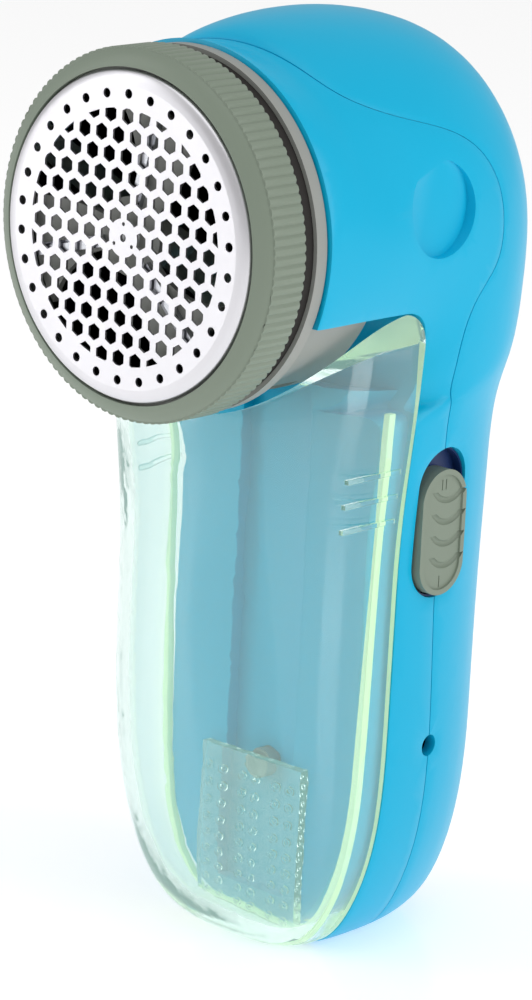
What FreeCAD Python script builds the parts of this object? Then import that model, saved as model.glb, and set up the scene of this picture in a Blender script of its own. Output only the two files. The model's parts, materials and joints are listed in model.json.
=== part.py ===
import FreeCAD, Part
import math
import os

"""Hand-held fabric shaver, millimetres.

Every piece is modelled in the head frame: the origin is the centre of the foil,
+Y runs backwards along the cutter's axis, +Z runs up the handle and +X is the
side with the switch and the charging hole.  stand() then moves each piece to
the row's frame, where the base is at Z = 0 and X = 0 is the middle plane.
"""

os.makedirs("parts", exist_ok=True)
V = FreeCAD.Vector

# ---- driving dimensions -------------------------------------------------------
BASE_DROP = 118.5        # from the cutter's axis down to the flat base
BODY_HALF = 24.7         # half the width of the handle at its top
REAR_END = 75.8          # from the foil back to the rearmost point of the head
WALL = 2.0               # blue shells
FIT = 0.3                # gap between pieces that move on each other
SEAT = 0.1               # gap between pieces that are fitted together
SPLIT = 0.2              # visible seam between the two shells

# head: cutter barrel, neck and dome
NECK_R = 28.4
NECK_FRONT = 14.6
NECK_BACK = 31.0
PIVOT_Y = 31.0           # the dome's sections fan about this line
PIVOT_Z = -30.0
SECTION_POINTS = 24

# handle sections: (share of BASE_DROP below the axis, front, rear, share of BODY_HALF)
HANDLE_SHARES = [
    (0.2532, 25.5, 74.5, 1.0000),
    (0.3544, 24.5, 74.6, 0.9514),
    (0.5063, 24.5, 74.5, 0.9271),
    (0.6582, 24.5, 74.4, 0.9231),
    (0.7595, 25.0, 74.4, 0.9069),
    (0.8439, 26.0, 73.9, 0.8462),
    (0.9114, 27.5, 73.0, 0.7368),
    (0.9620, 29.5, 70.8, 0.5992),
    (0.9899, 33.0, 67.0, 0.4534),
    (1.0000, 37.0, 62.5, 0.3239),
]
HANDLE = [
    (-drop * BASE_DROP, front, rear, half * BODY_HALF) for drop, front, rear, half in HANDLE_SHARES
]
LOW_END = -BASE_DROP - 20.0   # below everything, for cutting tools
ROUND_START = -0.844 * BASE_DROP   # where the base begins to round in
HANDLE_MID = 46.0        # depth at which the handle is widest
# dome: (fan angle from level, outer reach from the pivot line, half width)
DOME = [
    (75.0, 63.2, NECK_R + 0.2),
    (60.0, 64.4, NECK_R),
    (45.0, 60.3, NECK_R - 0.4),
    (30.0, 51.8, (NECK_R + BODY_HALF) / 2 + 0.65),
    (15.0, 45.6, BODY_HALF + 1.3),
]
DOME_INNER = 1.6

# joint between the blue handle and the clear container, seen from the side
JOINT_Y = 40.6
JOINT_Z = -11.0
JOINT_CORNER = 6.0
PLUG_Y = 36.0            # front face of the handle inside the container
PLUG_INSET = 2.3
CHANNEL_HALF = 7.0
CHANNEL_DEPTH = 2.2

# clear lint container: (share of BASE_DROP below the axis, front)
CONTAINER_SHARES = [
    (0.0844, 14.9),
    (0.2025, 14.9),
    (0.3797, 15.1),
    (0.5232, 15.4),
    (0.6582, 15.8),
    (0.7595, 17.4),
    (0.8439, 19.8),
    (0.9114, 22.6),
    (0.9578, 26.5),
    (0.9873, 31.5),
]
CONTAINER = [(-drop * BASE_DROP, front) for drop, front in CONTAINER_SHARES]
CONTAINER_WALL = 1.8
CONTAINER_FRONT = 14.6   # front cut of its top, behind the collar
TONGUE_HALF = 10.3
TONGUE_THICK = 1.6
TONGUE_Y = 35.7          # back face of the tongue, just ahead of the handle
DOT_ROWS = 9
DOT_PITCH = 2.8
DOT_COLUMNS = (-8.4, -5.6, -1.4, 1.4, 5.6, 8.4)
DOT_R = 0.75
RIB_HEIGHTS = (-36.5, -40.5, -44.5)
LATCH_Z = -0.751 * BASE_DROP
TONGUE_TOP = LATCH_Z + 1.6
LATCH_R = 2.3

# cutter head
FOIL_T = 0.4
FOIL_FLAT_R = 22.8
FOIL_R = 24.85
FOIL_DROP = 1.1
DOT_CIRCLE_R = 21.5
DOT_HOLES = 30
DOT_HOLE_R = 0.72
HEX_PITCH = 3.5
HEX_FLATS = 2.3
HEX_FIELD_R = 19.3
HUB_R = 2.9
RING_R = 28.2
RING_LIP_R = 27.3
RING_BACK = 9.2
RING_RIBS = 120
RING_RIB_DEPTH = 0.28
RING_GAP = 0.4           # dark line between the foil and the ring's lip
BARREL_R = 26.2
BARREL_IN_R = 24.2
BARREL_FRONT = 3.4
COLLAR_R = 27.8
COLLAR_FRONT = 12.0
COLLAR_BACK = 14.2
CHAMBER_R = 26.2
CHAMBER_IN_R = 24.6
CHAMBER_BACK = 29.0
OUTLET_HALF = 13.0
BLADE_R = 20.2
BLADE_COUNT = 3

# drive motor
MOTOR_R = 10.0
MOTOR_FLAT = 7.7
MOTOR_LEN = 25.0
MOTOR_WALL = 0.8
ARMATURE_R = MOTOR_R - 4.0
SHAFT_R = 1.0
BRACKET_T = 1.8
BRACKET_R = 14.0

# slide switch on the +X side
SWITCH_Y = 49.2
SWITCH_Z = -0.3932 * BASE_DROP
SWITCH_W = 11.8
SWITCH_L = 24.3
KNOB_W = 10.4
KNOB_L = 20.2
SWITCH_TRAVEL = 2.9
TRAY_DEPTH = 2.6
TRAY_T = 1.2
TRAY_RIM = 0.7           # rim's two thicknesses together
KNOB_GAP = 0.25

# charging hole on the +X side
DC_Y = 50.6
DC_Z = -0.7046 * BASE_DROP
DC_R = 1.75
JACK_LEN = 9.3
JACK_BORE = 7.8

# cells and board in the handle
CELL_R = 7.1
CELL_LEN = 48.0
CELL_X = CELL_R + 0.3
CELL_Y = 61.0
CELL_BOTTOM = -BASE_DROP + 20.5
BOARD_Y = 44.6
BOARD_T = 1.6

# case screws: (x, z), driven from the back
SCREWS = [(-12.5, -35.0), (12.5, -35.0), (0.0, -BASE_DROP + 5.3)]
SCREW_R = 1.2
SCREW_HEAD_R = 2.4
SCREW_HEAD_Y = 66.0
BOSS_R = 3.4


# ---- helpers --------------------------------------------------------------------
def cyl(r, y0, y1, x=0.0, z=0.0):
    """Cylinder along Y."""
    return Part.makeCylinder(r, y1 - y0, V(x, y0, z), V(0, 1, 0))


def tube(r_out, r_in, y0, y1, x=0.0, z=0.0):
    return cyl(r_out, y0, y1, x, z).cut(cyl(r_in, y0 - 1, y1 + 1, x, z))


def box(x0, x1, y0, y1, z0, z1):
    return Part.makeBox(x1 - x0, y1 - y0, z1 - z0, V(x0, y0, z0))


def revolve_y(points):
    """Solid of revolution about the Y axis from (radius, y) corners."""
    loop = [V(r, y, 0) for r, y in points]
    face = Part.Face(Part.makePolygon(loop + loop[:1]))
    return face.revolve(V(0, 0, 0), V(0, 1, 0), 360)


def pill(x0, x1, y, z, width, length):
    """Upright pill-shaped block with its flat faces across X."""
    r = width / 2
    half = length / 2 - r
    ends = [Part.makeCylinder(r, x1 - x0, V(x0, y, z + s * half), V(1, 0, 0)) for s in (-1, 1)]
    return box(x0, x1, y - r, y + r, z - half, z + half).fuse(ends).removeSplitter()


def smooth(points):
    curve = Part.BSplineCurve()
    curve.interpolate(points)
    return curve.toShape()


def skin(sections):
    """Solid through a row of closed sections, with flat ends.

    Each section starts at its innermost point, so the join of the skin runs
    down the inner side.
    """
    rows = []
    for points in sections:
        half = len(points) // 2
        rows.append(points[half:] + points[:half + 1])
    surface = Part.BSplineSurface()
    surface.interpolate(rows)
    first, last = surface.bounds()[:2]
    ends = [Part.Face(Part.Wire(surface.uIso(u).toShape())) for u in (first, last)]
    shell = Part.makeShell([surface.toShape()] + ends)
    shell.sewShape()
    solid = Part.makeSolid(shell)
    if solid.Volume < 0:
        solid.reverse()
    return solid


def share(table, z, column):
    """Value of a height table at z, straight between its rows."""
    rows = sorted(table)
    z = min(max(z, rows[0][0]), rows[-1][0])
    for low, high in zip(rows, rows[1:]):
        if low[0] <= z <= high[0]:
            t = (z - low[0]) / (high[0] - low[0])
            return low[column] + t * (high[column] - low[column])


def superellipse(inner, mid, outer, half, n_in, n_out):
    """(depth, side) points round a section that is widest at mid."""
    points = []
    for k in range(SECTION_POINTS):
        a = 2 * math.pi * k / SECTION_POINTS
        c, s = math.cos(a), math.sin(a)
        n = n_out if c > 0 else n_in
        r = (abs(c) ** n + abs(s) ** n) ** (-1 / n)
        reach = outer - mid if c > 0 else mid - inner
        points.append((mid + reach * r * c, half * r * s))
    return points


def floor_share(z, floor):
    """How far a section has come from the straight side (0) to the floor (1)."""
    return max(0.0, (z - ROUND_START) / (floor - ROUND_START))


# ---- blue body form -------------------------------------------------------------
def body_form(inset):
    """The blue body's outer form, or the same form drawn in by inset."""
    sections = []
    for y, grow in ((NECK_FRONT - (1.0 if inset else 0.0), 0.0), (23.0, 0.25)):
        r = NECK_R + grow - inset
        ring = superellipse(-r, 0, r, r, 2, 2)
        sections.append([V(side, y, depth) for depth, side in ring])
    r = NECK_R + 0.3 - inset
    ring = superellipse(-NECK_R + inset, 0, 31.0 - inset, r, 2, 2)
    sections.append([V(side, NECK_BACK, depth) for depth, side in ring])
    for angle, reach, half in DOME:
        a = math.radians(angle)
        inner = DOME_INNER + inset
        outer = reach - inset
        ring = superellipse(inner, (inner + outer) / 2, outer, half - inset, 2.2, 2.1)
        sections.append([
            V(side, PIVOT_Y + d * math.cos(a), PIVOT_Z + d * math.sin(a)) for d, side in ring
        ])
    for z, front, rear, half in HANDLE:
        height = z + inset * floor_share(z, -BASE_DROP)
        ring = superellipse(front + inset, HANDLE_MID, rear - inset, half - inset, 2.6, 2.3)
        sections.append([V(side, depth, height) for depth, side in ring])
    return skin(sections)


def side_region(edges):
    """Solid across the whole width from a closed outline in the Y-Z plane."""
    face = Part.Face(Part.Wire(edges))
    return face.extrude(V(100, 0, 0))


def joint_region(grow):
    """Space of the clear container, in front of and below the joint line."""
    y = JOINT_Y + grow
    z = JOINT_Z + grow
    r = JOINT_CORNER
    x = -50
    a = V(x, 0, z)
    b = V(x, y - r, z)
    mid = V(x, y - r + r * math.sin(math.pi / 4), z - r + r * math.cos(math.pi / 4))
    c = V(x, y, z - r)
    d = V(x, y, LOW_END)
    e = V(x, 0, LOW_END)
    edges = [
        Part.LineSegment(a, b).toShape(),
        Part.Arc(b, mid, c).toShape(),
        Part.LineSegment(c, d).toShape(),
        Part.LineSegment(d, e).toShape(),
        Part.LineSegment(e, a).toShape(),
    ]
    return side_region(edges)


def rear_region(shift):
    """Space behind the seam between the shells, seen from the side."""
    seam = [
        (22.6, 40.0), (22.2, 33.0), (21.9, 28.0), (23.0, 24.0), (28.5, 20.2),
        (36.0, 17.9), (44.0, 15.6), (50.0, 12.2), (53.8, 7.0), (54.7, 1.0),
        (53.2, -5.0), (49.4, -10.0), (47.3, -17.0), (47.4, -25.0), (48.4, -35.0),
        (49.3, -58.0), (50.2, -75.0), (50.6, -90.0), (50.6, LOW_END),
    ]
    x = -50
    points = [V(x, y + shift, z) for y, z in seam]
    far_low = V(x, 120, LOW_END)
    far_high = V(x, 120, 40)
    edges = [
        smooth(points),
        Part.LineSegment(points[-1], far_low).toShape(),
        Part.LineSegment(far_low, far_high).toShape(),
        Part.LineSegment(far_high, points[0]).toShape(),
    ]
    return side_region(edges)


def switch_opening():
    return pill(10, 40, SWITCH_Y, SWITCH_Z, SWITCH_W, SWITCH_L)


def charging_hole():
    return Part.makeCylinder(DC_R, 30, V(15, DC_Y, DC_Z), V(1, 0, 0))


def thumb_relief(side):
    """Round dip on the head's side, deepest at its back edge."""
    tool = Part.makeCylinder(7.4, 20, V(27.6, 39.6, 4.6), V(1, 0, 0))
    tool.rotate(V(27.6, 32.2, 4.6), V(0, 0, 1), 4.0)
    return tool if side > 0 else tool.mirror(V(0, 0, 0), V(1, 0, 0))


# ---- shells ---------------------------------------------------------------------
def body_shell():
    """Both blue shells in one: hollow, with a wall along the joint line."""
    outer = body_form(0).cut(joint_region(0))
    hollow = body_form(WALL).cut(joint_region(WALL))
    shell = outer.cut(hollow)
    shell = shell.cut(cyl(CHAMBER_R + SEAT, NECK_FRONT - 5, CHAMBER_BACK + SEAT))
    return shell.cut(switch_opening()).cut(charging_hole())


def handle_plug():
    """Step of the handle that the clear container closes over."""
    form = body_form(PLUG_INSET)
    floor = CONTAINER[-1][0] + CONTAINER_WALL + FIT
    block = box(-40, 40, PLUG_Y, JOINT_Y + WALL / 2, floor, -24)
    plug = form.common(block)
    channel = box(-CHANNEL_HALF, CHANNEL_HALF, PLUG_Y - 1, PLUG_Y + CHANNEL_DEPTH, -BASE_DROP + 8.5, -20)
    return plug.cut(channel)


def screw_boss(x, z, y0, y1, bore):
    return tube(BOSS_R, bore, y0, y1, x, z)


def front_shell(shell, region):
    piece = shell.cut(region).fuse(handle_plug())
    inside = body_form(WALL / 2)
    for x, z in SCREWS:
        boss = screw_boss(x, z, JOINT_Y + WALL / 2, 48.0, SCREW_R + SEAT).common(inside)
        piece = piece.fuse(boss)
    for side in (-1, 1):
        piece = piece.cut(thumb_relief(side))
    piece = piece.cut(cyl(LATCH_R + SEAT, PLUG_Y - 1, PLUG_Y + 4.4, 0, LATCH_Z))
    return piece.cut(switch_opening()).cut(charging_hole())


def rear_shell(shell, region):
    piece = shell.common(region)
    inside = body_form(WALL / 2)
    for x, z in SCREWS:
        boss = cyl(BOSS_R, 50.0 + SPLIT, 80, x, z).common(inside)
        piece = piece.fuse(boss)
        piece = piece.cut(cyl(SCREW_R + SEAT, 40, 90, x, z))
        piece = piece.cut(cyl(SCREW_HEAD_R + SEAT, SCREW_HEAD_Y, 90, x, z))
    for side in (-1, 1):
        piece = piece.cut(thumb_relief(side))
    return piece


def case_screws():
    screws = []
    for x, z in SCREWS:
        shank = cyl(SCREW_R, JOINT_Y + WALL, SCREW_HEAD_Y, x, z)
        head = cyl(SCREW_HEAD_R, SCREW_HEAD_Y, SCREW_HEAD_Y + 1.6, x, z)
        slot = box(x - 0.35, x + 0.35, SCREW_HEAD_Y + 0.8, SCREW_HEAD_Y + 2, z - 1.5, z + 1.5)
        cross = box(x - 1.5, x + 1.5, SCREW_HEAD_Y + 0.8, SCREW_HEAD_Y + 2, z - 0.35, z + 0.35)
        screws.append(shank.fuse(head).cut(slot).cut(cross))
    return Part.makeCompound(screws)


# ---- clear lint container -------------------------------------------------------
def half_width_at_joint(z):
    """Half width of the blue body where the container meets it."""
    if z > HANDLE[0][0]:
        top = math.sqrt(NECK_R ** 2 - JOINT_Z ** 2)
        t = (z - HANDLE[0][0]) / (JOINT_Z - HANDLE[0][0])
        low = HANDLE[0][3]
        return low + min(t, 1.1) * (top - low)
    front = share(HANDLE, z, 1)
    half = share(HANDLE, z, 3)
    depth = (HANDLE_MID - JOINT_Y) / (HANDLE_MID - front)
    return half * (1 - depth ** 2.6) ** (1 / 2.6)


def container_form(inset, back):
    """Container's outer form, or the same drawn in, closed at its back plane."""
    wires = []
    for z, front in CONTAINER:
        half = half_width_at_joint(z) - inset
        front_y = front + inset
        height = z + inset * floor_share(z, CONTAINER[-1][0])
        n = 3.0
        points = []
        for k in range(17):
            a = math.pi * k / 16
            c, s = math.cos(a), math.sin(a)
            r = (abs(c) ** n + abs(s) ** n) ** (-1 / n)
            points.append(V(-half * r * c, JOINT_Y - (JOINT_Y - front_y) * r * s, height))
        points = [V(points[0].x, back, height)] + points + [V(points[-1].x, back, height)]
        curve = smooth(points[1:-1])
        sides = [
            Part.LineSegment(points[0], points[1]).toShape(),
            curve,
            Part.LineSegment(points[-2], points[-1]).toShape(),
            Part.LineSegment(points[-1], points[0]).toShape(),
        ]
        wires.append(Part.Wire(sides))
    return Part.makeLoft(wires, True, False)


def container_tongue():
    """Dotted tongue that rises from the container's floor in front of the handle."""
    front = TONGUE_Y - TONGUE_THICK
    floor = CONTAINER[-1][0] + CONTAINER_WALL / 2
    tongue = box(-TONGUE_HALF, TONGUE_HALF, front, TONGUE_Y, floor, TONGUE_TOP)
    rings = []
    for row in range(DOT_ROWS):
        z = TONGUE_TOP - 3.6 - row * DOT_PITCH
        for x in DOT_COLUMNS:
            rings.append(tube(DOT_R, DOT_R / 2, front - 0.35, front + 0.2, x, z))
    return tongue.fuse(rings)


def lint_container():
    outer = container_form(0, JOINT_Y + 1)
    hollow = container_form(CONTAINER_WALL, JOINT_Y + 2)
    piece = outer.cut(hollow)
    keep = joint_region(-FIT).common(box(-40, 40, CONTAINER_FRONT, 60, LOW_END, 0))
    piece = piece.common(keep)
    piece = piece.cut(cyl(COLLAR_R + 0.6, 0, 40))
    for side in (-1, 1):
        for z in RIB_HEIGHTS:
            x = side * half_width_at_joint(z)
            rib = box(min(x, x - side * 0.8), max(x, x - side * 0.8), 26, 38, z - 0.35, z + 0.35)
            rib.translate(V(side * 0.35, 0, 0))
            piece = piece.fuse(rib)
    return piece.fuse(container_tongue().common(outer))


def latch_stud():
    stud = cyl(LATCH_R, PLUG_Y + 0.3, PLUG_Y + 4.2, 0, LATCH_Z)
    dimple = Part.makeSphere(2.6, V(0, PLUG_Y - 1.4, LATCH_Z))
    return stud.cut(dimple)


# ---- cutter head ----------------------------------------------------------------
def hexagon(x, z, flats):
    r = flats / math.sqrt(3)
    corners = [V(x + r * math.cos(math.radians(60 * k + 30)), 0,
                 z + r * math.sin(math.radians(60 * k + 30))) for k in range(7)]
    return Part.Face(Part.makePolygon(corners))


def foil():
    """Perforated guard: hexagonal field, ring of round holes and a plain hub."""
    disc = Part.Face(Part.Wire(Part.makeCircle(FOIL_FLAT_R, V(0, 0, 0), V(0, 1, 0))))
    field = Part.Face(Part.Wire(Part.makeCircle(HEX_FIELD_R, V(0, 0, 0), V(0, 1, 0))))
    hub = Part.Face(Part.Wire(Part.makeCircle(HUB_R, V(0, 0, 0), V(0, 1, 0))))
    holes = []
    rows = int(HEX_FIELD_R / HEX_PITCH) + 3
    for i in range(-rows, rows + 1):
        for j in range(-rows, rows + 1):
            x = HEX_PITCH * (i + j / 2)
            z = HEX_PITCH * j * math.sqrt(3) / 2
            reach = math.hypot(x, z)
            if reach < HEX_FLATS or reach > HEX_FIELD_R + 0.2:
                continue
            cell = hexagon(x, z, HEX_FLATS)
            if reach > HEX_FIELD_R - HEX_FLATS * 0.6:
                cell = cell.common(field)
            if reach < HUB_R + HEX_FLATS:
                cell = cell.cut(hub)
            holes.append(cell.extrude(V(0, 2, 0)))
    for k in range(DOT_HOLES):
        a = 2 * math.pi * (k + 0.5) / DOT_HOLES
        holes.append(cyl(DOT_HOLE_R, 0, 2, DOT_CIRCLE_R * math.cos(a), DOT_CIRCLE_R * math.sin(a)))
    holes.append(cyl(0.6, 0, 2))
    for k in range(3):
        a = math.radians(90 + 120 * k)
        holes.append(cyl(0.3, 0, 2, 2.1 * math.cos(a), 2.1 * math.sin(a)))
    tool = Part.makeCompound(holes)
    tool.translate(V(0, -1, 0))
    return disc.extrude(V(0, FOIL_T, 0)).cut(tool)


def foil_rim():
    """Rolled steel rim that the foil is fixed into."""
    return revolve_y([
        (FOIL_FLAT_R, 0), (FOIL_FLAT_R + 0.8, 0.12), (FOIL_R - 0.35, 0.5), (FOIL_R, FOIL_DROP),
        (FOIL_R, 2.2), (FOIL_R - FOIL_T, 2.2), (FOIL_R - FOIL_T, FOIL_DROP + 0.1),
        (FOIL_R - 0.8, 0.85), (FOIL_FLAT_R + 0.6, 0.5), (FOIL_FLAT_R, FOIL_T),
    ])


def foil_carrier():
    ring = tube(BARREL_R + 0.1, FOIL_R - 1.4, 2.2, 3.2)
    lugs = []
    for k in range(3):
        a = math.radians(30 + 120 * k)
        x, z = (BARREL_IN_R - 0.9) * math.cos(a), (BARREL_IN_R - 0.9) * math.sin(a)
        lugs.append(cyl(0.8, 2.6, 6.4, x, z))
    return ring.fuse(lugs)


def lock_ring():
    """Ribbed ring that holds the foil; it turns to unlock."""
    points = []
    for k in range(RING_RIBS):
        for part, r in ((0.0, RING_R - RING_RIB_DEPTH), (0.3, RING_R), (0.7, RING_R)):
            a = 2 * math.pi * (k + part) / RING_RIBS
            points.append(V(r * math.cos(a), 2.6, r * math.sin(a)))
    band = Part.Face(Part.makePolygon(points + points[:1])).extrude(V(0, RING_BACK - 2.6, 0))
    bore = BARREL_R + FIT
    lip = revolve_y([
        (FOIL_R + RING_GAP, 0.9), (RING_LIP_R, 1.8), (RING_R - RING_RIB_DEPTH, 2.7),
        (RING_R - RING_RIB_DEPTH, 3.2), (bore, 3.2), (bore, 1.9), (FOIL_R + RING_GAP, 1.9),
    ])
    return band.cut(cyl(bore, 0, 20)).fuse(lip)


def barrel_seal():
    return tube(BARREL_R + 0.9, BARREL_R + 0.05, 9.6, COLLAR_FRONT)


def chamber():
    """Cutter barrel, collar and lint chamber with its outlet below."""
    outer = revolve_y([
        (0, BARREL_FRONT), (BARREL_R, BARREL_FRONT), (BARREL_R, COLLAR_FRONT), (COLLAR_R, COLLAR_FRONT),
        (COLLAR_R, COLLAR_BACK), (CHAMBER_R, COLLAR_BACK), (CHAMBER_R, CHAMBER_BACK), (0, CHAMBER_BACK),
    ])
    inner = cyl(BARREL_IN_R, 0, COLLAR_BACK).fuse(cyl(CHAMBER_IN_R, COLLAR_BACK - 0.5, CHAMBER_BACK - 2))
    piece = outer.cut(inner)
    piece = piece.cut(box(-OUTLET_HALF, OUTLET_HALF, COLLAR_BACK + 2.2, CHAMBER_BACK - 3, -40, -10))
    piece = piece.cut(cyl(3.4, 20, 40))
    for side in (-1, 1):
        piece = piece.cut(cyl(1.1, 20, 40, 0, side * 8.0))
    return piece


# ---- cutter and motor -----------------------------------------------------------
def blade_leaf(angle):
    """One leaf of the three-leaf cutter plate."""
    a0 = math.radians(angle - 24)
    a1 = math.radians(angle + 24)
    am = math.radians(angle)
    inner = 3.0

    def at(r, a):
        return V(r * math.cos(a), 0, r * math.sin(a))

    edges = [
        Part.Arc(at(inner, a0 - 0.4), at(BLADE_R * 0.62, a0 - 0.12), at(BLADE_R, a0)).toShape(),
        Part.Arc(at(BLADE_R, a0), at(BLADE_R, am), at(BLADE_R, a1)).toShape(),
        Part.Arc(at(BLADE_R, a1), at(BLADE_R * 0.62, a1 - 0.2), at(inner, a1 + 0.3)).toShape(),
        Part.LineSegment(at(inner, a1 + 0.3), at(inner, a0 - 0.4)).toShape(),
    ]
    return Part.Face(Part.Wire(edges))


def blade_carrier():
    hub = cyl(4.2, 1.6, 12.0).fuse(cyl(6.0, 1.6, 4.4))
    leaves = []
    for k in range(BLADE_COUNT):
        leaf = blade_leaf(360 * k / BLADE_COUNT + 75).extrude(V(0, 1.4, 0))
        leaf.translate(V(0, 1.6, 0))
        leaves.append(leaf)
    piece = hub.fuse(leaves)
    return piece.cut(cyl(SHAFT_R, 0, 20)).cut(cyl(1.9, 1.0, 3.0))


def blades():
    """Three straight steel cutting strips on the leaves, close behind the foil."""
    strips = []
    for k in range(BLADE_COUNT):
        strip = box(5.2, BLADE_R - 0.6, FOIL_T + 0.3, 1.6, -0.9, 0.9)
        bevel = box(5.0, BLADE_R, -1.0, 1.0, -3, -0.4)
        bevel.rotate(V(0, FOIL_T + 0.3, -0.4), V(1, 0, 0), -30)
        strip = strip.cut(bevel)
        strip.rotate(V(0, 0, 0), V(0, 1, 0), -(360 * k / BLADE_COUNT + 75))
        strips.append(strip)
    return Part.makeCompound(strips)


def blade_cap():
    cap = cyl(1.8, 1.7, 3.0)
    return cap.cut(cyl(SHAFT_R, 1.5, 3.2))


MOTOR_FRONT = CHAMBER_BACK + BRACKET_T
MOTOR_BACK = MOTOR_FRONT + MOTOR_LEN


def motor_block(r, flat, y0, y1):
    return cyl(r, y0, y1).common(box(-40, 40, y0, y1, -flat, flat))


def motor_can():
    can = motor_block(MOTOR_R, MOTOR_FLAT, MOTOR_FRONT, MOTOR_BACK - 3)
    room = motor_block(MOTOR_R - MOTOR_WALL, MOTOR_FLAT - MOTOR_WALL, MOTOR_FRONT + MOTOR_WALL, MOTOR_BACK)
    can = can.cut(room).cut(cyl(3.0, MOTOR_FRONT - 1, MOTOR_FRONT + 3))
    return can


def motor_end_cap():
    cap = motor_block(MOTOR_R, MOTOR_FLAT, MOTOR_BACK - 3, MOTOR_BACK)
    return cap.cut(cyl(2.5, MOTOR_BACK - 5, MOTOR_BACK + 1))


def motor_bearings():
    front = tube(3.0, SHAFT_R + 0.03, MOTOR_FRONT - 1.2, MOTOR_FRONT + 1.4)
    rear = tube(2.5, SHAFT_R + 0.03, MOTOR_BACK - 3, MOTOR_BACK)
    return Part.makeCompound([front, rear])


def motor_magnets():
    ring = tube(MOTOR_R - MOTOR_WALL - SEAT, ARMATURE_R + 0.4, MOTOR_FRONT + 3, MOTOR_BACK - 8)
    left = ring.common(box(-20, -3.5, 0, 80, -MOTOR_FLAT + MOTOR_WALL, MOTOR_FLAT - MOTOR_WALL))
    right = ring.common(box(3.5, 20, 0, 80, -MOTOR_FLAT + MOTOR_WALL, MOTOR_FLAT - MOTOR_WALL))
    return Part.makeCompound([left, right])


def armature():
    """Three-pole laminated core with its windings."""
    core = cyl(ARMATURE_R, MOTOR_FRONT + 4, MOTOR_BACK - 9)
    for k in range(3):
        slot = box(-0.7, 0.7, 0, 90, 2.6, 8)
        slot.rotate(V(0, 0, 0), V(0, 1, 0), 120 * k)
        core = core.cut(slot)
    return core.cut(cyl(SHAFT_R, 0, 90))


def commutator():
    return tube(2.2, SHAFT_R, MOTOR_BACK - 9, MOTOR_BACK - 3.4)


def motor_brushes():
    """Carbon brushes in the end cap, either side of the commutator."""
    front = MOTOR_BACK - 5.6
    return Part.makeCompound([
        box(min(s * 2.25, s * 5.5), max(s * 2.25, s * 5.5), front, MOTOR_BACK - 3, -1, 1) for s in (-1, 1)
    ])


def motor_shaft():
    return cyl(SHAFT_R, 1.9, MOTOR_BACK + 0.8)


def motor_terminals():
    return Part.makeCompound([box(x - 0.9, x + 0.9, MOTOR_BACK, MOTOR_BACK + 3.2, -0.25, 0.25) for x in (-6, 6)])


def motor_bracket():
    plate = cyl(BRACKET_R, CHAMBER_BACK, MOTOR_FRONT)
    plate = plate.cut(box(-20, 20, 20, 40, -20, JOINT_Z + WALL + FIT)).cut(cyl(3.1, 20, 40))
    for side in (-1, 1):
        plate = plate.cut(cyl(1.1, 20, 40, 0, side * 8.0))
    cradle = tube(MOTOR_R + 1.6, MOTOR_R + 0.1, MOTOR_FRONT, MOTOR_FRONT + 12)
    cradle = cradle.common(box(-20, 20, 0, 80, -5.5, 5.5))
    return plate.fuse(cradle)


def motor_screws():
    screws = []
    for side in (-1, 1):
        shank = cyl(1.0, CHAMBER_BACK - 2.0, MOTOR_FRONT, 0, side * 8.0)
        head = cyl(1.9, CHAMBER_BACK - 3.2, CHAMBER_BACK - 2.0, 0, side * 8.0)
        screws.append(shank.fuse(head))
    return Part.makeCompound(screws)


# ---- switch ---------------------------------------------------------------------
def side_face():
    """Outer face of the handle's side at the switch."""
    return share(HANDLE, SWITCH_Z, 3)


def knob_rest():
    """Height of the slider's centre with the switch off."""
    return SWITCH_Z - (SWITCH_L - TRAY_RIM) / 2 + KNOB_GAP + KNOB_L / 2


def switch_tray():
    """Dark tray behind the switch opening, with a slot for the stem."""
    face = side_face() - TRAY_DEPTH - TRAY_T
    tray = pill(face, face + TRAY_T, SWITCH_Y, SWITCH_Z, SWITCH_W + 1.0, SWITCH_L + 2.4)
    rim = pill(face, side_face() - 1.0, SWITCH_Y, SWITCH_Z, SWITCH_W - 0.1, SWITCH_L - 0.1)
    rim = rim.cut(pill(face - 1, face + 9, SWITCH_Y, SWITCH_Z, SWITCH_W - TRAY_RIM, SWITCH_L - TRAY_RIM))
    slot = box(face - 1, face + 5, SWITCH_Y - 1.5, SWITCH_Y + 1.5, SWITCH_Z - 6, SWITCH_Z + 6)
    tray = tray.fuse(rim)
    return tray.common(body_form(WALL + 0.05).fuse(switch_opening())).cut(slot)


def switch_knob():
    """Ribbed slider; it rests at the lower end of its opening."""
    z = knob_rest()
    face = side_face()
    floor = face - TRAY_DEPTH + 0.2
    knob = pill(floor, face + 0.7, SWITCH_Y, z, KNOB_W, KNOB_L)
    top = pill(face + 0.2, face + 2, SWITCH_Y, z, KNOB_W - 1.6, KNOB_L - 1.6)
    knob = knob.cut(top)
    for k in range(4):
        dent = Part.makeCylinder(1.1, 6.0, V(face + 0.75, SWITCH_Y - 3.0, z + 4.2 - 3.2 * k), V(0, 1, 0))
        knob = knob.cut(dent)
    stem = box(face - TRAY_DEPTH - TRAY_T - 2.2, floor + 0.1, SWITCH_Y - 1.1, SWITCH_Y + 1.1, z - 1.6, z + 1.6)
    return knob.fuse(stem)


def switch_body():
    x = side_face() - TRAY_DEPTH - TRAY_T - 5.4
    z = knob_rest()
    case = box(x, x + 5.2, SWITCH_Y - 3.2, SWITCH_Y + 3.2, SWITCH_Z - 8, SWITCH_Z + 8)
    well = box(x + 2.2, x + 6, SWITCH_Y - 1.5, SWITCH_Y + 1.5, z - 2.2, z + 2.2 + SWITCH_TRAVEL)
    return case.cut(well)


# ---- charging hole, board and cells ---------------------------------------------
def jack_face():
    return share(HANDLE, DC_Z, 3) - WALL - 0.7


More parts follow.
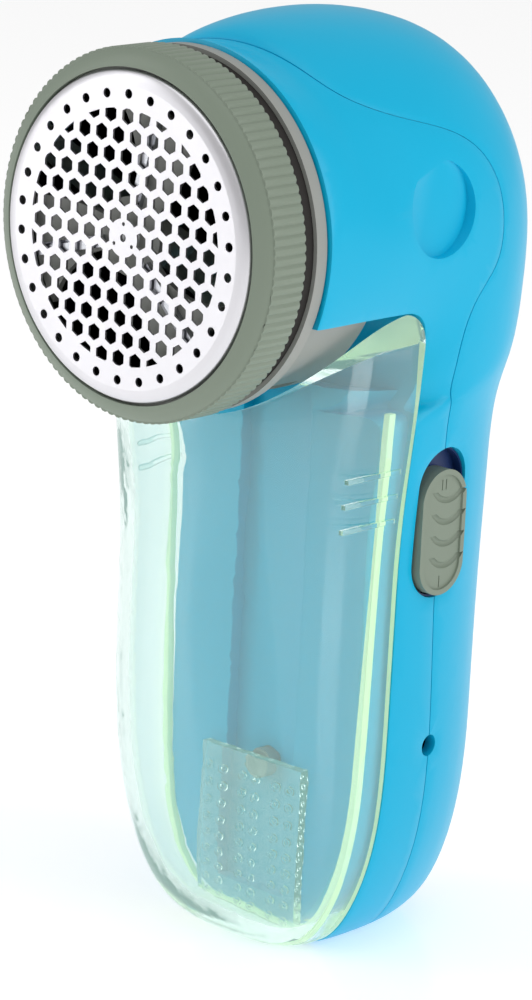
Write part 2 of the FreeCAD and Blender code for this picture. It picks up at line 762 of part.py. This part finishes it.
def dc_jack():
    x = jack_face()
    block = box(x - JACK_LEN, x, DC_Y - 3.8, DC_Y + 3.8, DC_Z - 4.2, DC_Z + 4.2)
    bore = Part.makeCylinder(DC_R + FIT, JACK_BORE, V(x - JACK_BORE, DC_Y, DC_Z), V(1, 0, 0))
    return block.cut(bore)


def dc_pin():
    x = jack_face()
    length = JACK_BORE - 1.0
    pin = Part.makeCylinder(0.5, length, V(x - JACK_BORE, DC_Y, DC_Z), V(1, 0, 0))
    return pin.fuse(Part.makeSphere(0.5, V(x - JACK_BORE + length, DC_Y, DC_Z)))


def charge_board():
    half = jack_face() - JACK_LEN + 4.1
    return box(-half, half, BOARD_Y, BOARD_Y + BOARD_T, CELL_BOTTOM - 1, CELL_BOTTOM + 32)


def board_components():
    y = BOARD_Y + BOARD_T
    z = CELL_BOTTOM
    chips = [
        box(-12, -7, y, y + 1.5, z + 20, z + 26),
        box(-4, 0, y, y + 1.2, z + 6, z + 12),
        box(-10, -8, y, y + 0.8, z + 12, z + 15),
        box(1, 3, y, y + 0.8, z + 23, z + 26),
        cyl(2.5, y, y + 4.5, -10.5, z + 5.5),
    ]
    return Part.makeCompound(chips)


def battery_cells():
    cells = []
    for side in (-1, 1):
        base = V(side * CELL_X, CELL_Y, CELL_BOTTOM)
        can = Part.makeCylinder(CELL_R, CELL_LEN, base, V(0, 0, 1))
        tip_z = CELL_BOTTOM + CELL_LEN if side > 0 else CELL_BOTTOM - 1.0
        tip = Part.makeCylinder(2.6, 1.0, V(side * CELL_X, CELL_Y, tip_z), V(0, 0, 1))
        cells.append(can.fuse(tip))
    return Part.makeCompound(cells)


def battery_contacts():
    top = CELL_BOTTOM + CELL_LEN + 1.0
    low = CELL_BOTTOM - 1.0
    strap = box(-CELL_X - 3, CELL_X + 3, CELL_Y - 3, CELL_Y + 3, low - 0.4, low)
    left = box(-CELL_X - 3, -CELL_X + 3, CELL_Y - 3, CELL_Y + 3, top - 1.0, top - 0.6)
    right = box(CELL_X - 3, CELL_X + 3, CELL_Y - 3, CELL_Y + 3, top, top + 0.4)
    return Part.makeCompound([strap, left, right])


def battery_cradle():
    """Saddle that holds the two cells off the board."""
    saddle = box(-CELL_X - CELL_R, CELL_X + CELL_R, CELL_Y - 8.6, CELL_Y - 1.5, CELL_BOTTOM, CELL_BOTTOM + 28)
    for side in (-1, 1):
        base = V(side * CELL_X, CELL_Y, CELL_BOTTOM - 1)
        saddle = saddle.cut(Part.makeCylinder(CELL_R + SEAT, CELL_LEN, base, V(0, 0, 1)))
    saddle = saddle.common(box(-14, 8.5, 0, 90, CELL_BOTTOM, 0))
    legs = [
        box(3, 7, BOARD_Y + BOARD_T, CELL_Y - 8, CELL_BOTTOM + 1, CELL_BOTTOM + 4),
        box(-6, -2, BOARD_Y + BOARD_T, CELL_Y - 8, CELL_BOTTOM + 16, CELL_BOTTOM + 19),
    ]
    return saddle.fuse(legs)


# ---- export ---------------------------------------------------------------------
def stand(shape):
    """Move a piece from the head frame to the row's frame."""
    shape.translate(V(0, -REAR_END / 2, BASE_DROP))
    return shape


def save(name, shape):
    shape = stand(shape)
    solids = shape.Solids
    print("%-18s solids %d  valid %s  volume %.1f" % (name, len(solids), shape.isValid(), shape.Volume))
    keep = solids[0] if len(solids) == 1 else Part.makeCompound(solids)
    keep.exportStep("parts/%s.step" % name)


def main():
    shell = body_shell()
    save("front_shell", front_shell(shell, rear_region(0)))
    save("rear_shell", rear_shell(shell, rear_region(SPLIT)))
    makers = [
        case_screws, lint_container, latch_stud, foil, foil_rim, foil_carrier, lock_ring, barrel_seal, chamber,
        blade_carrier, blades, blade_cap, motor_can, motor_end_cap, motor_bearings, motor_magnets,
        armature, commutator, motor_brushes, motor_shaft, motor_terminals, motor_bracket, motor_screws,
        switch_tray, switch_knob, switch_body, dc_jack, dc_pin, charge_board, board_components,
        battery_cells, battery_contacts, battery_cradle,
    ]
    for make in makers:
        save(make.__name__, make())


main()
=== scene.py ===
# %% [markdown]
# # Fabric shaver
#
# A fabric shaver cuts the pills off knitwear. Three blades spin behind a thin perforated foil, and
# the fluff falls into a clear container on the front of the handle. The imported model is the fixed
# frame: its pieces keep their places, and this script gives them their finishes or stands a finer
# piece in front of them.

# %% Load the frame
import json
import math

import bpy
from mathutils import Matrix, Vector


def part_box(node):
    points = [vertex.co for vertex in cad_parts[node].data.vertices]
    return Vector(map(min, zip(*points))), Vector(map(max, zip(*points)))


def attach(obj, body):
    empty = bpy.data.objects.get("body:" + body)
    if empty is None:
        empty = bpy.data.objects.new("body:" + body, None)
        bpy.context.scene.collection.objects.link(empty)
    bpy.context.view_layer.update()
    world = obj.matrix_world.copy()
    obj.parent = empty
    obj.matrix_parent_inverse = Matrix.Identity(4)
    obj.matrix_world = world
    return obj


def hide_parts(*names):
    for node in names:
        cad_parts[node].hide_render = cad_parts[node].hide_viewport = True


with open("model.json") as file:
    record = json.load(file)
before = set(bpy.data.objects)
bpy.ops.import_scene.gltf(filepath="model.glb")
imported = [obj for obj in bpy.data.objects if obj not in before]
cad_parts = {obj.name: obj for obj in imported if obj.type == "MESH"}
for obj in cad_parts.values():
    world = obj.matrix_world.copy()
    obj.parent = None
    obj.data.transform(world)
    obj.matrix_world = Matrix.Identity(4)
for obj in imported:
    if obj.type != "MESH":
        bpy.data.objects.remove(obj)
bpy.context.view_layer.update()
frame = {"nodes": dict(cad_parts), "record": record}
nodes = frame["nodes"]
MM = 0.001

foil_low, foil_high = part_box("foil")
HEAD = Vector((0.0, foil_low.y, (foil_low.z + foil_high.z) / 2))   # centre of the foil's face


def at(x, y, z):
    """A point given in millimetres from the middle of the foil."""
    return HEAD + Vector((x, y, z)) * MM


# %% [markdown]
# ## Camera
#
# A long lens from the switch side, a little above the handle, gives the flattened look of a
# product picture. The three directions are the camera's own right, up and back.

# %% Camera
camera_data = bpy.data.cameras.new("camera")
camera_data.lens = 150.07
camera_data.sensor_width = 36.0
camera_data.clip_start = 0.01
camera = bpy.data.objects.new("camera", camera_data)
bpy.context.scene.collection.objects.link(camera)
right = Vector((0.7337, 0.6778, 0.0483))
up = Vector((-0.2074, 0.1557, 0.9658))
back = Vector((0.6471, -0.7186, 0.2548))
turn = Matrix((right, up, back)).transposed().to_4x4()
camera.matrix_world = Matrix.Translation(at(421.8, -434.0, 120.5)) @ turn
bpy.context.scene.camera = camera
print("camera at", camera.location[:])

# %% [markdown]
# ## Floor and light
#
# The floor is a pale, slightly glossy sheet, so the base shows a faint reflection. Its small glow
# keeps it near white. A white world lights everything evenly and looks brighter to the camera than
# to the object. Large soft lamps give the plastic its broad highlights.

# %% Colour helper
def linear(hex_colour):
    """The linear colour of an sRGB hex value."""
    parts = [int(hex_colour[i:i + 2], 16) / 255 for i in (1, 3, 5)]
    return tuple(c / 12.92 if c <= 0.04045 else ((c + 0.055) / 1.055) ** 2.4 for c in parts) + (1.0,)


def add_node(tree, kind, settings=None, links=None):
    """A shader node with its values set and its inputs joined. links maps an input to an output."""
    node = tree.nodes.new(kind)
    for name, value in (settings or {}).items():
        if hasattr(node, name):
            setattr(node, name, value)
        else:
            node.inputs[name].default_value = value
    for name, source in (links or {}).items():
        tree.links.new(source, node.inputs[name])
    return node


def material(name, **shader):
    """A new material with a Principled shader, its tree and its shader node."""
    made = bpy.data.materials.new(name)
    made.use_nodes = True
    tree = made.node_tree
    tree.nodes.clear()
    settings = {key.replace("_", " "): value for key, value in shader.items()}
    surface = add_node(tree, "ShaderNodeBsdfPrincipled", settings)
    add_node(tree, "ShaderNodeOutputMaterial", links={"Surface": surface.outputs[0]})
    return made, tree, surface


# %% Floor
bpy.ops.object.select_all(action="DESELECT")
bpy.ops.mesh.primitive_plane_add(size=8.0, location=(0, 0, 0))
floor = bpy.context.object
floor.name = "floor"
floor_paint, _, _ = material(
    "white_acrylic_sheet", Base_Color=linear("#F2F2F2"), Roughness=0.2, Specular_IOR_Level=0.5,
    Emission_Color=linear("#FFFFFF"), Emission_Strength=0.43,
)
floor.data.materials.append(floor_paint)

# %% Lights
world = bpy.data.worlds.new("studio")
bpy.context.scene.world = world
world.use_nodes = True
world_tree = world.node_tree
lighting = world_tree.nodes["Background"]
lighting.inputs["Color"].default_value = linear("#FFFFFF")
lighting.inputs["Strength"].default_value = 0.5
backdrop = add_node(
    world_tree, "ShaderNodeBackground", {"Color": linear("#FFFFFF"), "Strength": 1.0},
)
ray = add_node(world_tree, "ShaderNodeLightPath")
seen_or_lit = add_node(
    world_tree, "ShaderNodeMixShader", links={"Fac": ray.outputs["Is Camera Ray"]},
)
world_tree.links.new(lighting.outputs[0], seen_or_lit.inputs[1])
world_tree.links.new(backdrop.outputs[0], seen_or_lit.inputs[2])
world_tree.links.new(seen_or_lit.outputs[0], world_tree.nodes["World Output"].inputs["Surface"])
bpy.context.scene.view_settings.view_transform = "Standard"


def soft_lamp(name, place, aim, size, power):
    """A rectangular lamp at place (m) that faces aim, with its power in watts."""
    data = bpy.data.lights.new(name, "AREA")
    data.shape = "RECTANGLE"
    data.size, data.size_y = size
    data.energy = power
    lamp = bpy.data.objects.new(name, data)
    bpy.context.scene.collection.objects.link(lamp)
    way = Vector(aim) - Vector(place)
    aimed = way.to_track_quat("-Z", "Y").to_matrix().to_4x4()
    lamp.matrix_world = Matrix.Translation(place) @ aimed


soft_lamp("left_box", (-0.85, -0.75, 0.45), (0, 0, 0.08), (0.35, 1.1), 2.9)
soft_lamp("right_box", (0.95, 0.25, 0.45), (0, 0, 0.09), (0.35, 1.1), 3.7)
soft_lamp("top_box", (0.1, -0.15, 1.0), (0, 0, 0.1), (0.9, 0.7), 2.0)

# %% [markdown]
# ## Finishes
#
# Every finish starts from what the real piece is made of.

# %% Plastics
def moulded(
    name, colour, roughness, grain_mm=0.35, grain_height_mm=0.004, mottle=0.04, **shader,
):
    """Injection-moulded plastic: even colour with a slight drift, and a fine spark-eroded grain."""
    made, tree, surface = material(name, Roughness=roughness, **shader)
    place = add_node(tree, "ShaderNodeTexCoord")
    drift = add_node(
        tree, "ShaderNodeTexNoise", {"Scale": 1 / (30 * MM), "Detail": 2.0},
        {"Vector": place.outputs["Object"]},
    )
    base = linear(colour)
    ramp = add_node(tree, "ShaderNodeValToRGB", links={"Fac": drift.outputs["Fac"]})
    ramp.color_ramp.elements[0].color = tuple(c * (1 - mottle) for c in base[:3]) + (1,)
    ramp.color_ramp.elements[1].color = tuple(min(1, c * (1 + mottle)) for c in base[:3]) + (1,)
    tree.links.new(ramp.outputs["Color"], surface.inputs["Base Color"])
    grain = add_node(
        tree, "ShaderNodeTexNoise", {"Scale": 1 / (grain_mm * MM), "Detail": 3.0},
        {"Vector": place.outputs["Object"]},
    )
    bump = add_node(
        tree, "ShaderNodeBump", {"Strength": 1.0, "Distance": grain_height_mm * MM},
        {"Height": grain.outputs["Fac"]},
    )
    tree.links.new(bump.outputs["Normal"], surface.inputs["Normal"])
    return made


# Blue ABS from a finely textured mould: saturated, with wide soft highlights.
blue_abs = moulded("blue_abs_moulded", "#00B4DE", 0.34, Specular_IOR_Level=0.28)
# Olive-grey ABS: flatter than the shells, so the ribs read by their shadows.
olive_plastic = moulded("olive_grey_abs_moulded", "#838F80", 0.42, Specular_IOR_Level=0.35)
# Grey ABS inside: plain and matt.
grey_plastic = moulded("grey_abs_moulded", "#9A9C97", 0.45)
# Black rubber: dusty matt, so the seal reads as a dark gap.
black_rubber = moulded("black_rubber_moulded", "#1B1714", 0.7, grain_height_mm=0.008)
# Black nylon: dark with a waxy sheen.
black_plastic = moulded("black_nylon_moulded", "#17181A", 0.5)
# Navy ABS: the deep recess round the slider.
navy_plastic = moulded("navy_abs_moulded", "#14336B", 0.4)
# Fibreglass board under green lacquer: the weave shows as a fine ripple.
circuit_board = moulded(
    "lacquered_fibreglass_board", "#1E5B36", 0.35, grain_mm=0.6, grain_height_mm=0.006,
)
# Shrunk PVC sleeve: glossy and slightly wavy over the cell.
cell_wrap = moulded("shrunk_pvc_sleeve", "#3A7D44", 0.25, grain_mm=4.0, grain_height_mm=0.02)

# %% Metals
def metal(
    name, colour, roughness, roughness_drift=0.06, mark_mm=0.4, mark_height_mm=0.002, along=(1, 1, 1),
):
    """Metal: the gloss drifts from place to place, and fine marks are stretched along their axis."""
    made, tree, surface = material(name, Base_Color=linear(colour), Metallic=1.0)
    place = add_node(tree, "ShaderNodeTexCoord")
    drift = add_node(
        tree, "ShaderNodeTexNoise", {"Scale": 1 / (8 * MM), "Detail": 2.0},
        {"Vector": place.outputs["Object"]},
    )
    gloss = add_node(
        tree, "ShaderNodeMapRange",
        {"To Min": roughness - roughness_drift, "To Max": roughness + roughness_drift},
        {"Value": drift.outputs["Fac"]},
    )
    tree.links.new(gloss.outputs["Result"], surface.inputs["Roughness"])
    stretched = add_node(
        tree, "ShaderNodeMapping", {"Scale": along}, {"Vector": place.outputs["Object"]},
    )
    marks = add_node(
        tree, "ShaderNodeTexNoise", {"Scale": 1 / (mark_mm * MM), "Detail": 3.0},
        {"Vector": stretched.outputs["Vector"]},
    )
    bump = add_node(
        tree, "ShaderNodeBump", {"Strength": 1.0, "Distance": mark_height_mm * MM},
        {"Height": marks.outputs["Fac"]},
    )
    tree.links.new(bump.outputs["Normal"], surface.inputs["Normal"])
    return made


# Etched stainless sheet: the acid leaves a satin face, so highlights are broad and pale.
foil_steel = metal(
    "etched_stainless_foil", "#DEDDE1", 0.4, 0.03, mark_mm=0.25, mark_height_mm=0.001,
)
# Ground blade steel: fine scratches run one way and pull the highlight out across them.
blade_steel = metal("ground_blade_steel", "#B9BBC0", 0.25, 0.05, mark_mm=0.15, along=(1, 1, 0.08))
# Bright zinc over drawn steel: a soft mirror with a cloudy bloom.
motor_steel = metal("zinc_plated_drawn_steel", "#A9ABAD", 0.33, 0.08, mark_mm=0.6, along=(1, 0.1, 1))
# Zinc over a rolled screw: slightly brighter than the can, with a fine plating grain.
zinc_screw = metal("zinc_plated_rolled_screw", "#B5B8BA", 0.3, 0.06, mark_mm=0.3)
# Pressed bronze powder: warm and dull, with open pores.
bronze_bush = metal("sintered_bronze", "#A97B45", 0.5, 0.08, mark_mm=0.12, mark_height_mm=0.01)
# Fired ferrite: nearly black and stony.
ferrite = moulded("fired_ferrite_magnet", "#2A2B2E", 0.6, grain_mm=0.2, grain_height_mm=0.01)

# %% Clear plastic
def add_flow_marks(tree, surface, roughness, spread_mm=14.0, height_mm=0.0015):
    """Flow marks of polished clear plastic: a long, faint ripple and a slight drift in gloss."""
    place = add_node(tree, "ShaderNodeTexCoord")
    flow = add_node(
        tree, "ShaderNodeTexNoise", {"Scale": 1 / (spread_mm * MM), "Detail": 1.0},
        {"Vector": place.outputs["Object"]},
    )
    gloss = add_node(
        tree, "ShaderNodeMapRange", {"To Min": roughness * 0.6, "To Max": roughness * 1.4},
        {"Value": flow.outputs["Fac"]},
    )
    tree.links.new(gloss.outputs["Result"], surface.inputs["Roughness"])
    bump = add_node(
        tree, "ShaderNodeBump", {"Strength": 1.0, "Distance": height_mm * MM},
        {"Height": flow.outputs["Fac"]},
    )
    tree.links.new(bump.outputs["Normal"], surface.inputs["Normal"])


def clear_moulded(name, colour, shadow_colour, roughness=0.02, **shader):
    """Polished clear plastic. Lamps shine straight through it, so what is inside stays bright."""
    made, tree, surface = material(
        name, Base_Color=linear(colour), IOR=1.59, Transmission_Weight=0.96, **shader,
    )
    add_flow_marks(tree, surface, roughness)
    output = next(n for n in tree.nodes if n.type == "OUTPUT_MATERIAL")
    path = add_node(tree, "ShaderNodeLightPath")
    through = add_node(tree, "ShaderNodeBsdfTransparent", {"Color": linear(shadow_colour)})
    both = add_node(tree, "ShaderNodeMixShader", links={"Fac": path.outputs["Is Shadow Ray"]})
    tree.links.new(surface.outputs[0], both.inputs[1])
    tree.links.new(through.outputs[0], both.inputs[2])
    tree.links.new(both.outputs[0], output.inputs["Surface"])
    return made


# Clear polystyrene: bends what is behind it and mirrors the lamps. Its faint aqua emission is painted
# light, a glow that brightens the container in place of the soft studio reflection on its walls.
clear_plastic = clear_moulded(
    "clear_styrene_with_painted_glow", "#EAF2F0", "#F7FCFB",
    Emission_Color=linear("#98F0DC"), Emission_Strength=0.045,
)
# The moulding's cut edge, in painted light: a pale yellow-green colour and emission glow stand in
# for the light piped along the wall and out at the edge.
painted_glow_edge, painted_glow_tree, painted_glow_surface = material(
    "clear_styrene_painted_edge_glow", Base_Color=linear("#DDF8CC"), IOR=1.59,
    Emission_Color=linear("#D9F7C6"), Emission_Strength=0.25,
)
add_flow_marks(painted_glow_tree, painted_glow_surface, 0.3)

# %% Give every node its finish
finishes = {
    "blue_abs": blue_abs, "olive_plastic": olive_plastic, "grey_plastic": grey_plastic,
    "clear_plastic": clear_plastic, "foil_steel": foil_steel, "blade_steel": blade_steel,
    "motor_steel": motor_steel, "zinc_screw": zinc_screw, "bronze_bush": bronze_bush,
    "ferrite": ferrite, "black_rubber": black_rubber, "black_plastic": black_plastic,
    "navy_plastic": navy_plastic, "circuit_board": circuit_board, "cell_wrap": cell_wrap,
}
slot_of = {part["node"]: part["material_slot"] for part in frame["record"]["subparts"]}
for name, node in nodes.items():
    node.data.materials.clear()
    node.data.materials.append(finishes[slot_of[name]])
print("finished", len(nodes), "nodes")

# %% [markdown]
# ## Moulded shells
#
# A moulded edge is never razor sharp. The two shells and the ring are copies of the designed
# solids: their loose triangles are merged first, and a bevel then rounds every hard edge.

# %% Helpers for copies
def pick_only(piece):
    """Make piece the one selected and active object."""
    bpy.ops.object.select_all(action="DESELECT")
    piece.select_set(True)
    bpy.context.view_layer.objects.active = piece


def merged_copy(node, name):
    """A copy of a node's mesh with its loose triangles merged into whole faces."""
    piece = bpy.data.objects.new(name, nodes[node].data.copy())
    bpy.context.scene.collection.objects.link(piece)
    pick_only(piece)
    bpy.ops.object.mode_set(mode="EDIT")
    bpy.ops.mesh.select_all(action="SELECT")
    bpy.ops.mesh.remove_doubles(threshold=0.002 * MM)
    bpy.ops.mesh.dissolve_limited(angle_limit=math.radians(0.5))
    bpy.ops.mesh.customdata_custom_splitnormals_clear()
    bpy.ops.object.mode_set(mode="OBJECT")
    return piece


def round_edges(piece, width_mm, sharp_degrees=32, segments=2, flat=False):
    """Bevel every hard edge, then shade the rest smooth. flat keeps large flat faces truly flat."""
    pick_only(piece)
    if width_mm:
        bevel = piece.modifiers.new("edge", "BEVEL")
        bevel.width = width_mm * MM
        bevel.segments = segments
        bevel.limit_method = "ANGLE"
        bevel.angle_limit = math.radians(sharp_degrees)
        bpy.ops.object.modifier_apply(modifier=bevel.name)
    bpy.ops.object.shade_smooth_by_angle(angle=math.radians(sharp_degrees + 8))
    if flat:
        weighted = piece.modifiers.new("flat", "WEIGHTED_NORMAL")
        weighted.keep_sharp = True
        bpy.ops.object.modifier_apply(modifier=weighted.name)


def stand_for(piece, body, *replaced):
    """The piece rides on its body and is shown instead of the nodes it replaces."""
    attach(piece, body)
    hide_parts(*replaced)
    print(piece.name, len(piece.data.polygons), "faces")


# %% Shells and ring
front_shell = merged_copy("front_shell", "front_shell_moulding")
round_edges(front_shell, 0.25)
stand_for(front_shell, "body", "front_shell")

rear_shell = merged_copy("rear_shell", "rear_shell_moulding")
round_edges(rear_shell, 0.25)
stand_for(rear_shell, "body", "rear_shell")

lock_ring = merged_copy("lock_ring", "lock_ring_moulding")
round_edges(lock_ring, 0.1)
stand_for(lock_ring, "ring", "lock_ring")

# %% [markdown]
# ## Foil
#
# The foil is etched from thin sheet, and its edge is rolled over a rim. The sheet and the rim are
# joined into one skin here, so the light runs on over the roll with no line between them.

# %% Foil
foil = merged_copy("foil", "foil_sheet")
rim = merged_copy("foil_rim", "foil_rim_sheet")
bpy.ops.object.select_all(action="DESELECT")
rim.select_set(True)
foil.select_set(True)
bpy.context.view_layer.objects.active = foil
bpy.ops.object.join()
bpy.ops.object.mode_set(mode="EDIT")
bpy.ops.mesh.select_all(action="SELECT")
bpy.ops.mesh.remove_doubles(threshold=0.01 * MM)
bpy.ops.object.mode_set(mode="OBJECT")
round_edges(foil, 0, flat=True)
stand_for(foil, "foil_holder", "foil", "foil_rim")

# %% [markdown]
# ## Lint container
#
# Clear polystyrene, polished in the mould. The rim's faces get their own finish, a painted pale green
# glow that stands in for the light piped out at the edge of clear plastic. Its edges stay unbevelled:
# a bevel over the small dots broke up the view through the tongue. A thin lip stands inside the rim,
# with the same painted glow.

# %% Container
JOINT_Y = 40.3                                     # back plane of the container's rim
container = merged_copy("lint_container", "lint_container_moulding")
container.data.materials.append(painted_glow_edge)
rim_plane = at(0, JOINT_Y, 0).y
# Faces on the rim's back plane take the painted edge glow.
for face in container.data.polygons:
    if face.center.y > rim_plane - 0.1 * MM and face.normal.y > 0.9:
        face.material_index = 1
round_edges(container, 0)
stand_for(container, "container", "lint_container")

# %% Inner lip
LIP_Y = 36.6                                       # back of the lip
LIP_THICK = 1.4
LIP_OFFSET = 1.9                                   # from the container's outer face
LIP_WIDTH = 1.2
LIP_STEPS = 72
LIP_TOP = -25.0


def turn_at(a, b, c):
    """Above zero when the path a, b, c turns left."""
    return (b.x - a.x) * (c.y - a.y) - (b.y - a.y) * (c.x - a.x)


def outer_path(points):
    """The points on the underside of a cloud, from left to right, with no dent between them."""
    path = []
    for point in sorted(points, key=lambda p: (round(p.x, 6), -p.y)):
        while len(path) > 1 and turn_at(path[-2], path[-1], point) <= 0:
            path.pop()
        path.append(point)
    return path


def even_steps(path, count):
    """count + 1 points at equal distances along a path."""
    lengths = [(b - a).length for a, b in zip(path, path[1:])]
    step = sum(lengths) / count
    points = [path[0]]
    walked = 0.0
    for a, b, length in zip(path, path[1:], lengths):
        while len(points) * step <= walked + length + 1e-9:
            points.append(a.lerp(b, (len(points) * step - walked) / length))
        walked += length
    return points


rim_points = [
    Vector((v.co.x, v.co.z)) for v in nodes["lint_container"].data.vertices
    if abs(v.co.y - rim_plane) < 0.05 * MM and v.co.z < at(0, 0, LIP_TOP).z
]
outline = even_steps(outer_path(rim_points), LIP_STEPS)
print("outline points", len(outline))


def inward(points, k):
    """Direction across an outline, towards its inside."""
    before = points[max(k - 4, 0)]
    after = points[min(k + 4, len(points) - 1)]
    along = (after - before).normalized()
    return Vector((-along.y, along.x))


lip_mesh = bpy.data.meshes.new("container_lip")
corners = []
for k, point in enumerate(outline):
    for offset in (LIP_OFFSET, LIP_OFFSET + LIP_WIDTH):
        place = point + inward(outline, k) * offset * MM
        corners.append((place.x, at(0, LIP_Y, 0).y, place.y))
strips = [(2 * k, 2 * k + 1, 2 * k + 3, 2 * k + 2) for k in range(len(outline) - 1)]
lip_mesh.from_pydata(corners, [], strips)
lip = bpy.data.objects.new("container_lip", lip_mesh)
bpy.context.scene.collection.objects.link(lip)
pick_only(lip)
bpy.ops.object.mode_set(mode="EDIT")
bpy.ops.mesh.select_all(action="SELECT")
bpy.ops.mesh.extrude_region_move(TRANSFORM_OT_translate={"value": (0, -LIP_THICK * MM, 0)})
bpy.ops.mesh.select_all(action="SELECT")
bpy.ops.mesh.normals_make_consistent(inside=False)
bpy.ops.object.mode_set(mode="OBJECT")
# The lip wears the painted edge glow: a pale green painted highlight line inside the rim.
lip.data.materials.append(painted_glow_edge)
round_edges(lip, 0.15)
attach(lip, "container")
print("lip", len(lip.data.polygons), "faces")

# %% [markdown]
# ## Slider
#
# The slider is a pill-shaped button with a raised rim and four scooped grips for the thumb. It
# starts as an upright cylinder lying across the handle; its two halves are moved apart to make
# the pill, and shallow cutters scoop out the grips.

# %% Slider
slider_low, slider_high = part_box("switch_knob")
slider_centre = (slider_low + slider_high) / 2
slider_width = slider_high.y - slider_low.y
slider_length = slider_high.z - slider_low.z
SLIDER_THICK = 3.2
RIM_WIDTH = 0.85
RIM_DROP = 0.35
PILL_SIDES = 48


def upright_pill(name, outer_x, thick, width, length, centre):
    """A pill whose flat faces look along X; its outer face is at outer_x."""
    bpy.ops.object.select_all(action="DESELECT")
    bpy.ops.mesh.primitive_cylinder_add(
        vertices=PILL_SIDES, radius=width / 2, depth=thick,
        location=(outer_x - thick / 2, centre.y, centre.z),
        rotation=(0, math.pi / 2, 0),
    )
    piece = bpy.context.object
    piece.name = name
    bpy.ops.object.transform_apply(location=True, rotation=True, scale=True)
    reach = (length - width) / 2
    for side in (-1, 1):
        bpy.ops.object.mode_set(mode="EDIT")
        bpy.ops.mesh.select_all(action="DESELECT")
        bpy.ops.object.mode_set(mode="OBJECT")
        for vertex in piece.data.vertices:
            vertex.select = side * (vertex.co.z - centre.z) > 0.01 * MM
        bpy.ops.object.mode_set(mode="EDIT")
        bpy.ops.transform.translate(value=(0, 0, side * reach))
    bpy.ops.object.mode_set(mode="OBJECT")
    return piece


slider = upright_pill(
    "slider_moulding", slider_high.x, SLIDER_THICK * MM, slider_width, slider_length,
    slider_centre,
)
bpy.ops.object.mode_set(mode="EDIT")
bpy.ops.mesh.select_all(action="DESELECT")
bpy.ops.object.mode_set(mode="OBJECT")
for face in slider.data.polygons:
    face.select = face.normal.x > 0.9
bpy.ops.object.mode_set(mode="EDIT")
bpy.ops.mesh.inset(thickness=RIM_WIDTH * MM)
bpy.ops.mesh.extrude_region_move(TRANSFORM_OT_translate={"value": (-RIM_DROP * MM, 0, 0)})
bpy.ops.object.mode_set(mode="OBJECT")

# %% Grips on the slider
GRIP_COUNT = 4
GRIP_PITCH = 3.5
GRIP_RADIUS = 4.2
GRIP_TOP = 5.0
GRIP_ROUND = 0.55                                  # radius of the scoop's own section
GRIP_LIFT = 0.15                                   # the scoop's middle above the face
GRIP_SHIFT = 1.2                                   # towards the back
GRIP_HEIGHT = 1.6                                  # height at which each scoop is cut off
MARK_DEEP = 0.3
MARK_WIDE = 0.25
MARKS = ((7.6, 1.7, -0.45), (7.6, 1.7, 0.45), (-8.0, 1.9, 0.0))   # height, length, shift back


def cut_with(piece, cutter):
    """Cut the cutter's shape out of piece and throw the cutter away."""
    pick_only(piece)
    difference = piece.modifiers.new("cut", "BOOLEAN")
    difference.operation = "DIFFERENCE"
    difference.solver = "EXACT"
    difference.object = cutter
    bpy.ops.object.modifier_apply(modifier=difference.name)
    bpy.data.objects.remove(cutter)


face_x = slider_high.x - RIM_DROP * MM
for k in range(GRIP_COUNT):
    z = slider_centre.z + (GRIP_TOP - k * GRIP_PITCH) * MM
    bpy.ops.object.select_all(action="DESELECT")
    bpy.ops.mesh.primitive_torus_add(
        major_radius=GRIP_RADIUS * MM, minor_radius=GRIP_ROUND * MM,
        major_segments=48, minor_segments=12, rotation=(0, math.pi / 2, 0),
        location=(
            face_x + GRIP_LIFT * MM, slider_centre.y + GRIP_SHIFT * MM, z + GRIP_RADIUS * MM,
        ),
    )
    scoop = bpy.context.object
    bpy.ops.object.transform_apply(location=True, rotation=True, scale=True)
    bpy.ops.object.mode_set(mode="EDIT")
    bpy.ops.mesh.select_all(action="SELECT")
    bpy.ops.mesh.bisect(
        plane_co=(face_x, 0, z + GRIP_HEIGHT * MM), plane_no=(0, 0, 1),
        clear_outer=True, use_fill=True,
    )
    bpy.ops.object.mode_set(mode="OBJECT")
    cut_with(slider, scoop)

for z_mm, length_mm, y_mm in MARKS:
    bpy.ops.object.select_all(action="DESELECT")
    bpy.ops.mesh.primitive_cube_add(
        size=1, scale=(MARK_DEEP * MM, MARK_WIDE * MM, length_mm * MM),
        location=(face_x, slider_centre.y + y_mm * MM, slider_centre.z + z_mm * MM),
    )
    bpy.ops.object.transform_apply(location=True, rotation=True, scale=True)
    cut_with(slider, bpy.context.object)

slider.data.materials.clear()
slider.data.materials.append(olive_plastic)
round_edges(slider, 0.12, sharp_degrees=40, flat=True)
stand_for(slider, "switch", "switch_knob")
